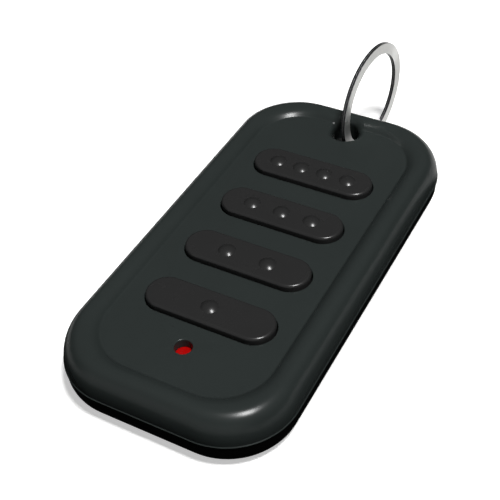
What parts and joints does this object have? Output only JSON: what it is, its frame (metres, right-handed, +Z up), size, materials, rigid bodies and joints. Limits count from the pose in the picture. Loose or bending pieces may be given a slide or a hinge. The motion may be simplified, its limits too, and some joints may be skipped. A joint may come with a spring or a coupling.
{
  "type": "remote transmitter",
  "caption": "Slim key-fob remote transmitter with a row of press buttons, a small red lamp and a steel key ring through its end.",
  "frame": {"origin": "centre of the flat base of the lower case, on the surface it rests on", "axes": "+Z up through the buttons, +Y along the case from the lamp to the key ring, +X to the right seen from above"},
  "size_m": [0.0348, 0.0811, 0.0196],
  "materials": {
    "case_plastic": "fine satin moulded plastic, very dark grey-green",
    "base_plastic": "satin moulded plastic, black",
    "button_plastic": "satin moulded plastic, near black",
    "switch_plastic": "moulded switch housing",
    "plunger_plastic": "moulded switch pin",
    "tinned_metal": "tinned, dull silver",
    "board_laminate": "glass laminate with green solder mask",
    "lamp_lens": "clear red moulded lens",
    "cell_steel": "bright nickel-plated steel",
    "spring_steel": "nickel-plated spring strip",
    "gold_plate": "gold-plated copper",
    "chip_resin": "moulded black resin",
    "can_steel": "drawn steel can",
    "resistor_ceramic": "glazed black ceramic",
    "capacitor_ceramic": "tan ceramic",
    "screw_steel": "zinc-plated steel",
    "ring_steel": "bright nickel-plated spring steel"
  },
  "bodies": {
    "case": {"upper_case": "case_plastic", "lower_case": "base_plastic", "switch_terminals": "tinned_metal", "circuit_board": "board_laminate", "status_lamp": "lamp_lens", "lamp_leads": "tinned_metal", "coin_cell": "cell_steel", "battery_strap": "spring_steel", "battery_contact": "gold_plate", "encoder_chip": "chip_resin", "chip_pins": "tinned_metal", "radio_can": "can_steel", "timing_crystal": "can_steel", "output_transistor": "chip_resin", "resistors": "resistor_ceramic", "capacitors": "capacitor_ceramic", "aerial": "gold_plate", "case_screws": "screw_steel", "switch_body_1": "switch_plastic", "switch_body_2": "switch_plastic", "switch_body_3": "switch_plastic", "switch_body_4": "switch_plastic"},
    "button_1": {"button_1": "button_plastic", "switch_plunger_1": "plunger_plastic"},
    "button_2": {"button_2": "button_plastic", "switch_plunger_2": "plunger_plastic"},
    "button_3": {"button_3": "button_plastic", "switch_plunger_3": "plunger_plastic"},
    "button_4": {"button_4": "button_plastic", "switch_plunger_4": "plunger_plastic"},
    "key_ring": {"key_ring": "ring_steel"}
  },
  "joints": [
    {"name": "press_1", "type": "slide", "parent": "case", "child": "button_1", "axis": [0, 0, -1], "range_m": [0, 0.00035], "stiffness_N_per_m": 4000},
    {"name": "press_2", "type": "slide", "parent": "case", "child": "button_2", "axis": [0, 0, -1], "range_m": [0, 0.00035], "stiffness_N_per_m": 4000},
    {"name": "press_3", "type": "slide", "parent": "case", "child": "button_3", "axis": [0, 0, -1], "range_m": [0, 0.00035], "stiffness_N_per_m": 4000},
    {"name": "press_4", "type": "slide", "parent": "case", "child": "button_4", "axis": [0, 0, -1], "range_m": [0, 0.00035], "stiffness_N_per_m": 4000},
    {"name": "ring_swing", "type": "hinge", "parent": "case", "child": "key_ring", "pos_m": [0.00103, 0.03308, 0.00675], "axis": [0.9945, -0.1045, 0], "range_deg": [-75, 8]}
  ]
}
